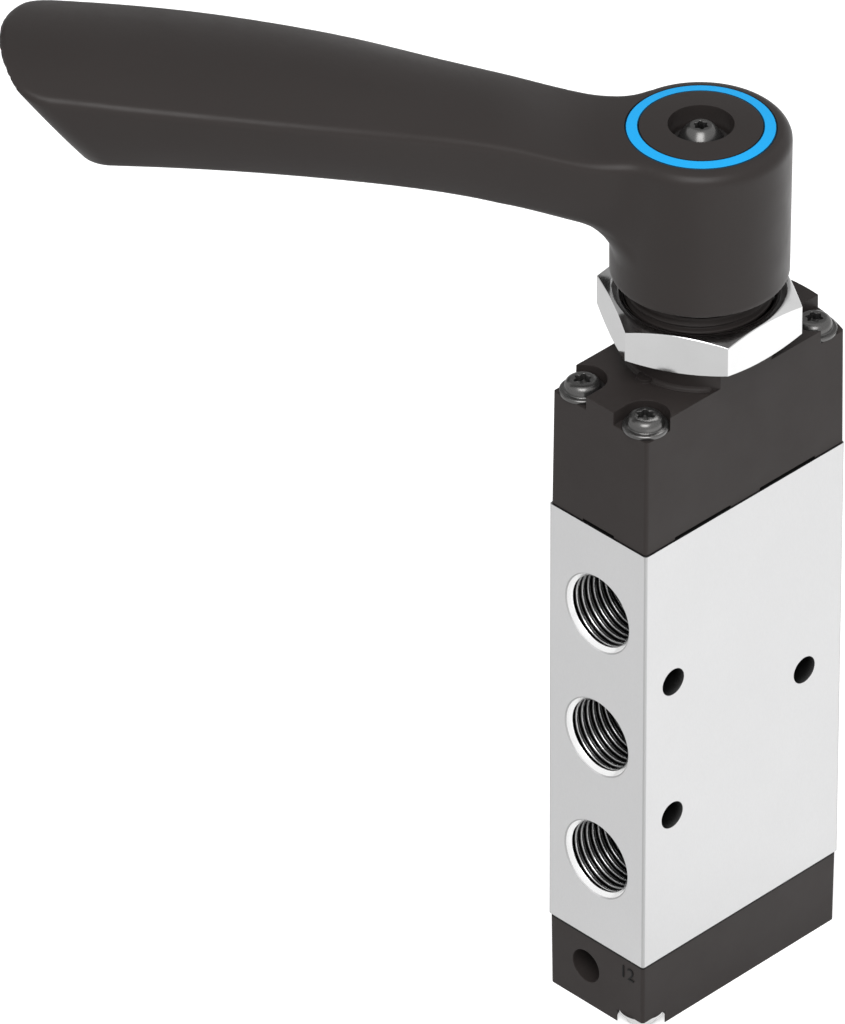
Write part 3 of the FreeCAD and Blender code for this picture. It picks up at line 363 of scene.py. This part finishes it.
def polar_mesh(name, rings, count, closed, matrices=(Matrix.Identity(4),)):
    """Mesh of rings round Z, each given as radius and height: numbers or arrays over the angle.

    Closed rings join the last to the first; otherwise both ends are capped. There is one copy
    for each matrix.
    """
    angle = circle(count)
    points = np.zeros((len(rings), count, 3))
    for row, (radius, height) in enumerate(rings):
        points[row, :, 0] = radius * np.cos(angle)
        points[row, :, 1] = radius * np.sin(angle)
        points[row, :, 2] = height
    flat = points.reshape(-1, 3)
    last = len(rings) - 1
    vertices, faces = [], []
    for matrix in matrices:
        first = len(vertices)
        vertices += [tuple((matrix @ Vector(point)) * MM) for point in flat]
        for row in range(last + 1 if closed else last):
            low, high = first + row * count, first + (row + 1) % len(rings) * count
            for step in range(count):
                after = (step + 1) % count
                faces.append((low + step, low + after, high + after, high + step))
        if not closed:
            faces.append(tuple(first + step for step in range(count))[::-1])
            faces.append(tuple(first + last * count + step for step in range(count)))
    mesh = bpy.data.meshes.new(name)
    mesh.from_pydata(vertices, [], faces)
    work = bmesh.new()
    work.from_mesh(mesh)
    bmesh.ops.recalc_face_normals(work, faces=work.faces)
    work.to_mesh(mesh)
    work.free()
    return mesh


def thread_wave(phase):
    """0 at a thread's crest and 1 at its root, with rounded flanks."""
    wave = 0.5 - 0.5 * np.cos(2 * math.pi * phase)
    return np.clip((wave - 0.12) / 0.76, 0, 1)


def standing(x, y, z, axis):
    """Matrix that puts local Z along an axis at a place."""
    rotation = Vector(axis).to_track_quat("Z", "Y").to_matrix().to_4x4()
    return Matrix.Translation((x, y, z)) @ rotation


def make_port_threads():
    """The turns of the five tapped ports, with their countersunk mouths."""
    crest, major, mouth, pitch, end = 4.37, 4.86, 5.0, 0.907, 6.6
    back = major + 0.05
    count = 96
    turn = np.arange(count) / count
    first, bevel_end = mouth - major, mouth - crest
    rings = [(back, -(first - 0.02)), (major, -first),
             (crest + 0.02, 0.02 - bevel_end), (crest, -bevel_end)]
    for depth in np.arange(bevel_end + 0.04, end, pitch / 14):
        rings.append((crest + (major - crest) * thread_wave(depth / pitch + turn), -depth))
    rings += [(major, -end), (back, -end)]
    for face, offsets in ((-1, (-1, 0, 1)), (1, (-0.5, 0.5))):
        for number, offset in enumerate(offsets, start=1):
            place = standing(0, HALF_DEPTH * face, PORT_MIDDLE + PORT_PITCH * offset, (0, face, 0))
            name = f"port_thread_{'front' if face < 0 else 'rear'}_{number}"
            mesh = polar_mesh(name, rings, count, True, [place])
            turned = mesh.attributes.new("turned", "FLOAT", "POINT")
            turned.data.foreach_set("value", [1.0] * len(mesh.vertices))
            add_piece(name, mesh, "body_aluminium", "housing", 60)


def make_collar_threads():
    """The collar's turns below the nut and in its dish."""
    core, crest, pitch, top_bevel = 7.7, 8.24, 1.0, 0.75
    root = core + 0.02
    count = 128
    turn = np.arange(count) / count
    for name, low, high in (("collar_thread_low", CAP_TOP + 2.0, NUT_LOW),
                            ("collar_thread_high", NUT_HIGH - NUT_DISH, COLLAR_TOP)):
        rings = [(core - 0.1, low), (root, low)]
        for height in np.arange(low + 0.03, high - 0.02, pitch / 14):
            thread = crest - (crest - core) * thread_wave(height / pitch - turn)
            bevel = COLLAR_TOP + crest - top_bevel - height
            rings.append((np.maximum(np.minimum(thread, bevel), root), height))
        rings += [(root, high), (core - 0.1, high)]
        add_piece(name, polar_mesh(name, rings, count, True), "cap_plastic", "housing", 60)


def make_spigot_foot():
    """The hollow blend between the spigot's round ends and the cap's top."""
    count, radius, blend, flat, sunk = 192, 8.25, 0.5, 7.1, 0.05
    angle = circle(count)
    hidden = np.minimum(radius - sunk, flat / np.maximum(np.abs(np.cos(angle)), 1e-6))
    shown = (radius + blend) * np.abs(np.cos(angle)) < flat
    rings = [(hidden, CAP_TOP - sunk)]
    for turn in np.radians((0, 15, 30, 45, 60, 75, 90)):
        out = radius + blend - blend * math.sin(turn)
        rings.append((np.where(shown, out, hidden), CAP_TOP + blend - blend * math.cos(turn)))
    rings.append((hidden, CAP_TOP + blend))
    mesh = polar_mesh("spigot_foot", rings, count, True)
    add_piece("spigot_foot", mesh, "cap_plastic", "housing", 40)


def make_nut():
    """The hexagon nut: crossed cones on both sides, a dish on top and a plain bore."""
    count, half, bore, rim = 192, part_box("panel_nut")[1].x / MM, 7.73, 9.8
    cone, lip, dish_foot = math.radians(21), 0.06, 8.28
    angle = circle(count)
    off = (angle + math.pi / 6) % (math.pi / 3) - math.pi / 6
    hexagon = half / np.cos(off)
    drop = (hexagon - rim) * math.tan(cone)
    low, high = NUT_LOW, NUT_HIGH
    rings = [(bore, low + 0.3), (bore + 0.3, low), (rim - lip, low), (rim + lip, low + lip * 0.4),
             (hexagon - lip, low + drop - lip * 0.4), (hexagon, low + drop + lip),
             (hexagon, high - drop - lip), (hexagon - lip, high - drop + lip * 0.4),
             (rim + lip, high - lip * 0.4), (rim - lip, high), (rim - 2 * lip, high - lip)]
    dish, depth = rim - 2 * lip - dish_foot, NUT_DISH - lip
    rings += [(dish_foot + dish * (1 - math.sin(turn)), high - lip - depth * (1 - math.cos(turn)))
              for turn in np.radians((18, 34, 50, 64, 78, 90))]
    rings.append((bore, high - NUT_DISH))
    mesh = polar_mesh("hexagon_nut", rings, count, True)
    nut = add_piece("hexagon_nut", mesh, "plated_steel", "housing", 25)
    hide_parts("panel_nut")


def star(count, outer, inner):
    """Radius of a six-lobed socket over the angle."""
    wave = np.cos(6 * circle(count))
    return (outer + inner) / 2 + (outer - inner) / 2 * np.sign(wave) * np.abs(wave) ** 0.8


def screw_rings(count, head, flat, socket, deep, shank, length):
    """Rings of a socket screw: shank, the head's profile from its seat inwards, star socket."""
    lobes = star(count, socket, socket * 0.74)
    top = head[-1][1]
    return [(shank, -length), (shank, -0.01), *head,
            ((flat + lobes) / 2, top), (lobes + 0.03, top), (lobes, top - 0.04),
            (lobes * 0.98, top - deep), (lobes * 0.4, top - deep * 1.12)]


def make_screws():
    """Flange screws of both caps, and the dome screw in the hub."""
    count, flat = 72, 1.2
    head = [(2.57, 0.0), (2.6, 0.06), (2.6, 0.34), (2.5, 0.44),
            (2.12, 0.5), (2.06, 0.56), (2.04, 0.85)]
    head += [(1.18 + 0.86 * math.cos(turn), 0.85 + 0.85 * math.sin(turn))
             for turn in np.radians((20, 40, 58, 74))]
    head.append((flat, 1.7))
    rings = screw_rings(count, head, flat, 1.04, 0.85, 1.25, 12.0)
    four = ((-1, -1, 0.1), (-1, 1, 0.75), (1, -1, 0.35), (1, 1, 0.55))
    two = ((1, -1, 0.2), (-1, 1, 0.6))
    for name, node, slot, seat, way, corners in (
            ("flange_screws_top", "top_cap_screws", "black_steel",
             CAP_TOP - SCREW_DEPTH, 1, four),
            ("flange_screws_bottom", "bottom_cap_screws", "plated_steel",
             SCREW_DEPTH, -1, two)):
        matrices = []
        for sx, sy, turn in corners:
            place = standing(SCREW_X * sx, SCREW_Y * sy, seat, (0, 0, way))
            matrices.append(place @ Matrix.Rotation(turn, 4, "Z"))
        mesh = polar_mesh(name, rings, count, False, matrices)
        piece = add_piece(name, mesh, slot, "housing", 28)
        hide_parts(node)

    washer_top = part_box("hub_washer")[1].z / MM
    head = [(2.6, 0.0), (2.65, 0.06), (2.65, 0.24)]
    head += [(flat + 1.43 * out, 2.2 - 0.85 * out - 1.05 * out * out)
             for out in (1.0, 0.9, 0.8, 0.7, 0.6, 0.5, 0.4, 0.25, 0.12, 0.05)]
    head.append((1.18, 2.2))
    rings = screw_rings(count, head, flat, 0.85, 1.1, 1.5, 10.4)
    place = standing(0, 0, washer_top, (0, 0, 1)) @ Matrix.Rotation(0.4, 4, "Z")
    mesh = polar_mesh("hub_dome_screw", rings, count, False, [place])
    screw = add_piece("hub_dome_screw", mesh, "black_steel", "lever_group", 28)
    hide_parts("hub_screw")


# Lever, as one field that is zero on its surface

# Across the arm: reach from the hub's axis, half width, height of the top's edges, foot, crown
ARM = np.array([
    (8.8, 7.30, 111.90, 101.35, 0.50),
    (13.2, 7.40, 112.55, 102.90, 0.55),
    (19.7, 7.50, 114.30, 105.30, 0.85),
    (28.3, 8.18, 116.23, 107.90, 1.30),
    (37.0, 9.34, 117.98, 110.00, 1.65),
    (45.6, 10.12, 119.47, 111.48, 1.70),
    (54.2, 10.50, 120.77, 112.44, 1.70),
    (62.9, 10.49, 121.84, 112.87, 1.70),
    (69.3, 10.22, 122.53, 112.89, 1.70),
    (80.0, 9.55, 123.46, 112.69, 1.70),
])
HUB_RADIUS_LOW, HUB_RADIUS_HIGH = 9.94, 10.05
HUB_DOME = 61.0
TIP_REACH, TIP_RADIUS, TIP_CUT = 76.3, 17.6, 0.83
NECK_BLEND, UNDER_BLEND, TOP_BLEND = 7.0, 4.4, 0.9
BOSS_RADIUS, BOSS_LENGTH, BOSS_SUNK = 5.9, 2.9, 3.0
ARM_START, SIDE_LEAN = 5.0, 2.0

# Radii of the lever's rounded edges
EASE_HUB, EASE_ARM, EASE_TIP = 1.25, 0.8, 1.8
EASE_NECK, EASE_UNDER, EASE_FOOT = 2.2, 0.6, 0.3


def spline(x, knots, values):
    """Natural cubic spline through the knots, straight beyond them."""
    step = np.diff(knots)
    slope = np.diff(values) / step
    count = len(knots)
    matrix = np.eye(count)
    right = np.zeros(count)
    for i in range(1, count - 1):
        matrix[i, i - 1:i + 2] = step[i - 1], 2 * (step[i - 1] + step[i]), step[i]
        right[i] = 6 * (slope[i] - slope[i - 1])
    curve = np.linalg.solve(matrix, right)
    inside = np.clip(x, knots[0], knots[-1])
    i = np.clip(np.searchsorted(knots, inside) - 1, 0, count - 2)
    a, b = (knots[i + 1] - inside) / step[i], (inside - knots[i]) / step[i]
    bend = ((a ** 3 - a) * curve[i] + (b ** 3 - b) * curve[i + 1]) * step[i] ** 2 / 6
    ends = (slope[0] - curve[1] * step[0] / 6, slope[-1] + curve[-2] * step[-1] / 6)
    beyond = np.minimum(x - knots[0], 0) * ends[0] + np.maximum(x - knots[-1], 0) * ends[1]
    return a * values[i] + b * values[i + 1] + bend + beyond


def round_max(a, b, radius):
    """Intersection of two fields, with its edge rounded to a radius."""
    over = np.hypot(np.maximum(a + radius, 0), np.maximum(b + radius, 0))
    return np.minimum(np.maximum(a, b), -radius) + over


def hub_dome(radius):
    """Height of the hub's domed top over the radius."""
    return HUB_TOP - radius ** 2 / (2 * HUB_DOME)


def lever_field(s, t, z):
    """Signed field of arm and hub: s along the arm from the hub's axis, t across, z upwards.

    The factors a little below 1 keep the slope of tilted surfaces near 1.
    """
    knots = ARM[:, 0]
    along = np.maximum(s, ARM_START)
    half, edge, foot, crown = [spline(along, knots, ARM[:, column]) for column in range(1, 5)]
    spread = np.hypot(s, t)
    taper = (HUB_RADIUS_HIGH - HUB_RADIUS_LOW) / HUB_HEIGHT
    hub_radius = HUB_RADIUS_LOW + taper * (z - HUB_FOOT)

    def flared(width):
        """Widen the neck with an arc that meets the hub's wall smoothly."""
        reach = np.sqrt(np.maximum((hub_radius + NECK_BLEND) ** 2 - (width + NECK_BLEND) ** 2, 0))
        touch = reach * hub_radius / (hub_radius + NECK_BLEND)
        back = np.maximum(reach - np.maximum(s, touch), 0)
        return width + NECK_BLEND - np.sqrt(np.maximum(NECK_BLEND ** 2 - back ** 2, 0))

    depth = edge - foot
    wall = (SIDE_LEAN ** 2 + depth ** 2) / (2 * SIDE_LEAN)
    lean = wall - np.sqrt(np.maximum(wall ** 2 - np.clip(edge - z, 0, depth) ** 2, 0))
    side = np.abs(t) - flared(half - lean)
    top_half = flared(half)
    arm_top = edge + crown * (1 - (t / top_half) ** 2) - 0.5 * np.maximum(ARM_START - s, 0)
    dome = hub_dome(spread)
    melt = np.maximum(TOP_BLEND - np.abs(dome - arm_top), 0) ** 2 / (4 * TOP_BLEND)
    top = (z - np.maximum(dome, arm_top) - melt) * 0.98

    clear = np.clip(UNDER_BLEND - (spread - hub_radius), 0, UNDER_BLEND)
    under = foot - UNDER_BLEND + np.sqrt(np.maximum(UNDER_BLEND ** 2 - clear ** 2, 0))
    cut_back = TIP_CUT * np.maximum(arm_top - 0.5 - z, 0)
    tip = (np.hypot(s - TIP_REACH + TIP_RADIUS + cut_back, t) - TIP_RADIUS) * 0.8
    ends = np.where(s > 50, round_max(side, tip, EASE_TIP), side)
    rim = np.interp(s, (7.0, 15.0), (EASE_HUB, EASE_ARM))
    arm = round_max(ends, top, rim)
    lower_rim = np.interp(s, (10.0, 22.0), (EASE_NECK, EASE_UNDER))
    arm = round_max(arm, (under - z) * 0.97, lower_rim)
    arm = np.maximum(arm, -s)
    hub = round_max(spread - hub_radius, top, EASE_HUB)
    hub = round_max(hub, HUB_FOOT - z, EASE_FOOT)
    boss = np.maximum(np.maximum(spread - BOSS_RADIUS, HUB_FOOT - BOSS_LENGTH - z),
                      z - HUB_FOOT - BOSS_SUNK)
    return np.minimum(np.minimum(arm, hub), boss)


def field_mesh(field, low, high, step):
    """Closed quad mesh of the surface where a field is zero, with a point in each crossed cell."""
    axes = [np.arange(a, b + step, step) for a, b in zip(low, high)]
    grid = np.meshgrid(*axes, indexing="ij")
    values = field(*grid)
    inside = values < 0
    corners = [(i, j, k) for i in (0, 1) for j in (0, 1) for k in (0, 1)]
    shape = [len(axis) - 1 for axis in axes]

    def corner(array, offset):
        return array[tuple(slice(o, o + n) for o, n in zip(offset, shape))]

    total = sum(corner(inside, offset).astype(int) for offset in corners)
    crossed = (total > 0) & (total < 8)
    number = np.full(shape, -1)
    number[crossed] = np.arange(crossed.sum())
    cells = np.argwhere(crossed)
    points = np.zeros((len(cells), 3))
    hits = np.zeros(len(cells))
    for first in corners:
        for axis in range(3):
            if first[axis]:
                continue
            second = tuple(1 if i == axis else v for i, v in enumerate(first))
            a, b = corner(values, first)[crossed], corner(values, second)[crossed]
            cut = (a < 0) != (b < 0)
            share = np.where(cut, a / np.where(cut, a - b, 1), 0)
            spot = np.array(first, float) + np.eye(3)[axis] * share[:, None]
            points += np.where(cut[:, None], spot, 0)
            hits += cut
    points = (cells + points / hits[:, None]) * step + np.array([axis[0] for axis in axes])
    faces = []
    for axis in range(3):
        u, v = (axis + 1) % 3, (axis + 2) % 3
        span = [slice(1, -1)] * 3
        span[axis] = slice(0, -1)
        after = list(span)
        after[axis] = slice(1, None)
        a, b = inside[tuple(span)], inside[tuple(after)]
        for flag, order in ((a & ~b, 1), (~a & b, -1)):
            index = np.argwhere(flag)
            index += np.array([0 if i == axis else 1 for i in range(3)])
            quad = []
            for du, dv in ((0, 0), (1, 0), (1, 1), (0, 1)):
                cell = index.copy()
                cell[:, u] -= du
                cell[:, v] -= dv
                quad.append(number[cell[:, 0], cell[:, 1], cell[:, 2]])
            faces.append(np.stack(quad, 1)[:, ::order])
    return points, np.concatenate(faces)


def settle(field, points, rounds=5):
    """Move points onto the surface along the field's slope."""
    small = 0.01
    shifts = np.eye(3) * small
    for _ in range(rounds):
        value = field(*points.T)
        slope = np.stack([(field(*(points + shift).T) - field(*(points - shift).T)) / (2 * small)
                          for shift in shifts], 1)
        square = np.maximum((slope ** 2).sum(1), 0.2)
        points = points - slope * (value / square)[:, None]
    return points


def evaluated_mesh(piece):
    """A new mesh of an object, with its modifiers or its outline worked out."""
    bpy.context.view_layer.update()
    graph = bpy.context.evaluated_depsgraph_get()
    return bpy.data.meshes.new_from_object(piece.evaluated_get(graph))


def cut_away(mesh, cutters):
    """Take closed cutter meshes out of a mesh."""
    piece = bpy.data.objects.new("work", mesh)
    bpy.context.scene.collection.objects.link(piece)
    tools = []
    for cutter in cutters:
        tool = bpy.data.objects.new("tool", cutter)
        bpy.context.scene.collection.objects.link(tool)
        modifier = piece.modifiers.new("cut", "BOOLEAN")
        modifier.operation = "DIFFERENCE"
        modifier.solver = "EXACT"
        modifier.object = tool
        tools.append(tool)
    result = evaluated_mesh(piece)
    for item in (piece, *tools):
        bpy.data.objects.remove(item)
    return result


def make_lever():
    """The lever: crowned arm, blends and domed hub, with the cuts for all that it holds."""
    low, high = (-10.6, -11.2, HUB_FOOT - 3.4), (77.0, 11.2, 125.8)
    points, faces = field_mesh(lever_field, low, high, step=0.36)
    points = settle(lever_field, points)
    turn = Matrix.Rotation(LEVER_ANGLE, 3, "Z")
    mesh = bpy.data.meshes.new("lever_grip")
    mesh.from_pydata((points @ np.array(turn).T * MM).tolist(), [], faces.tolist())
    well_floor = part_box("hub_washer")[0].z / MM
    ring_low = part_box("position_ring")[0].z / MM
    above = HUB_TOP + 2
    inner, outer = RING_INNER - 0.06, RING_OUTER + 0.06
    well, shaft, stem, square = 3.66, 4.03, 1.65, 2.83 * math.sqrt(2)
    cutters = (
        ("well", [(well, well_floor), (well, above)], 96, False),
        ("groove", [(inner, ring_low), (outer, ring_low), (outer, above), (inner, above)],
         160, True),
        ("shaft", [(shaft, HUB_FOOT - 4), (shaft, HUB_FOOT + 3.1)], 64, False),
        ("socket", [(square, HUB_FOOT), (square, well_floor - 1.0)], 4, False),
        ("stem", [(stem, HUB_FOOT), (stem, HUB_TOP)], 32, False),
    )
    mesh = cut_away(mesh, [polar_mesh(*cutter) for cutter in cutters])
    mesh.name = "lever_grip"
    lever = add_piece("lever_grip", mesh, "lever_plastic", "lever_group", 38)
    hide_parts("lever")


def make_ring():
    """The coloured ring, its edges eased, flush with the hub's dome."""
    inner, outer, ease = RING_INNER, RING_OUTER, 0.07
    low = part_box("position_ring")[0].z / MM
    rings = [(inner, low), (outer, low), (outer, hub_dome(outer) - ease)]
    rings += [(radius, hub_dome(radius)) for radius in (outer - ease, 8.0, 7.6, 7.2, inner + ease)]
    rings.append((inner, hub_dome(inner) - ease))
    mesh = polar_mesh("blue_ring", rings, 160, True)
    ring = add_piece("blue_ring", mesh, "blue_plastic", "lever_group")
    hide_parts("position_ring")


def make_digits():
    """Plain digits standing proud on the lower cap's narrow face."""
    left, foot, sunk = 3.7, 6.9, 0.02
    curve = bpy.data.curves.new("digits", "FONT")
    curve.body = "12"
    curve.size = 2.35 * MM
    curve.extrude = 0.1 * MM
    curve.offset = -0.01 * MM
    text = bpy.data.objects.new("digits", curve)
    bpy.context.scene.collection.objects.link(text)
    mesh = evaluated_mesh(text)
    bpy.data.objects.remove(text)
    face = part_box("bottom_cap")[0].y
    place = Matrix.Translation((left * MM, face + sunk * MM, foot * MM))
    mesh.transform(place @ Matrix.Rotation(math.pi / 2, 4, "X"))
    mesh.name = "cap_digits"
    mesh.materials.clear()
    add_piece("cap_digits", mesh, "seal_rubber", "housing")


# Stage

# The kinds of rays that show the stage; all others only carry its light
SEEN = ("Camera", "Glossy", "Transmission")


def add_lamp(name, place, aim, size, watts):
    """A square soft lamp at a place, aimed at a point."""
    data = bpy.data.lights.new(name, "AREA")
    data.shape = "SQUARE"
    data.size = size
    data.energy = watts
    lamp = bpy.data.objects.new(name, data)
    lamp.location = place
    lamp.rotation_euler = (Vector(aim) - Vector(place)).to_track_quat("-Z", "Y").to_euler()
    bpy.context.scene.collection.objects.link(lamp)


def add_card(name, half, material):
    """A flat square round the origin, facing up."""
    mesh = bpy.data.meshes.new(name)
    corners = [(-half, -half, 0), (half, -half, 0), (half, half, 0), (-half, half, 0)]
    mesh.from_pydata(corners, [], [(0, 1, 2, 3)])
    mesh.materials.append(material)
    card = bpy.data.objects.new(name, mesh)
    bpy.context.scene.collection.objects.link(card)
    return card


def glowing_material(name, grey):
    """A dull material with white emission, its node helper and its shader."""
    material, nodes, shader = new_material(name, specular=0.0)
    shader.inputs["Base Color"].default_value = (grey, grey, grey, 1)
    shader.inputs["Roughness"].default_value = 0.9
    shader.inputs["Emission Color"].default_value = (1, 1, 1, 1)
    return material, nodes, shader


def add_flag(name, way, distance, width, glow):
    """A grey card that only mirrored rays see, facing the object from a direction."""
    material, nodes, shader = glowing_material(name, 0.0)
    nodes.feed(glow, shader.inputs["Emission Strength"])
    flag = add_card(name, width / 2, material)
    toward = Vector(way).normalized()
    turn = toward.to_track_quat("Z", "Y").to_matrix().to_4x4()
    flag.matrix_world = Matrix.Translation(toward * distance) @ turn
    flag.visible_camera = flag.visible_diffuse = flag.visible_shadow = False


def make_floor():
    """A pale floor: even to the camera, and dark to light from left to right where mirrored."""
    material, nodes, shader = glowing_material("pale_floor", 0.86)
    across = nodes.tree.nodes.new("ShaderNodeVectorMath")
    across.operation = "DOT_PRODUCT"
    across.inputs[1].default_value = (0.707, 0.707, 0.0)
    nodes.feed(nodes.geometry("Position"), across.inputs[0])
    mirrored = nodes.tree.nodes.new("ShaderNodeMapRange")
    mirrored.interpolation_type = "SMOOTHSTEP"
    for index, value in enumerate((across.outputs["Value"], -0.04, 0.04, 0.05, 0.78)):
        nodes.feed(value, mirrored.inputs[index])
    seen = nodes.blend(nodes.rays("Camera"), mirrored.outputs[0], 0.6)
    glow = nodes.math("MULTIPLY", nodes.rays(*SEEN), seen)
    nodes.feed(glow, shader.inputs["Emission Strength"])
    floor = add_card("floor", 4.0, material)


def make_studio():
    """A white surround that lights less than it shows, the floor, a soft lamp and two cards."""
    bpy.context.scene.view_settings.view_transform = "Standard"
    world = bpy.data.worlds.new("studio")
    bpy.context.scene.world = world
    world.use_nodes = True
    nodes = Nodes(world.node_tree)
    background = world.node_tree.nodes["Background"]
    background.inputs["Color"].default_value = (1, 1, 1, 1)
    nodes.feed(nodes.blend(nodes.rays(*SEEN), 0.45, 1.0), background.inputs["Strength"])
    make_floor()
    add_lamp("key", (0.5, -0.6, 1.08), (0.0, 0.0, 0.06), 0.8, 12.5)
    add_flag("flag_back", (-0.62, 0.5, 0.48), 1.6, 1.5, 0.42)
    add_flag("flag_left", (-0.92, 0.2, 0.38), 1.5, 0.7, 0.03)


make_camera()
make_studio()
make_port_threads()
make_collar_threads()
make_spigot_foot()
make_nut()
make_screws()
make_lever()
make_ring()
make_digits()
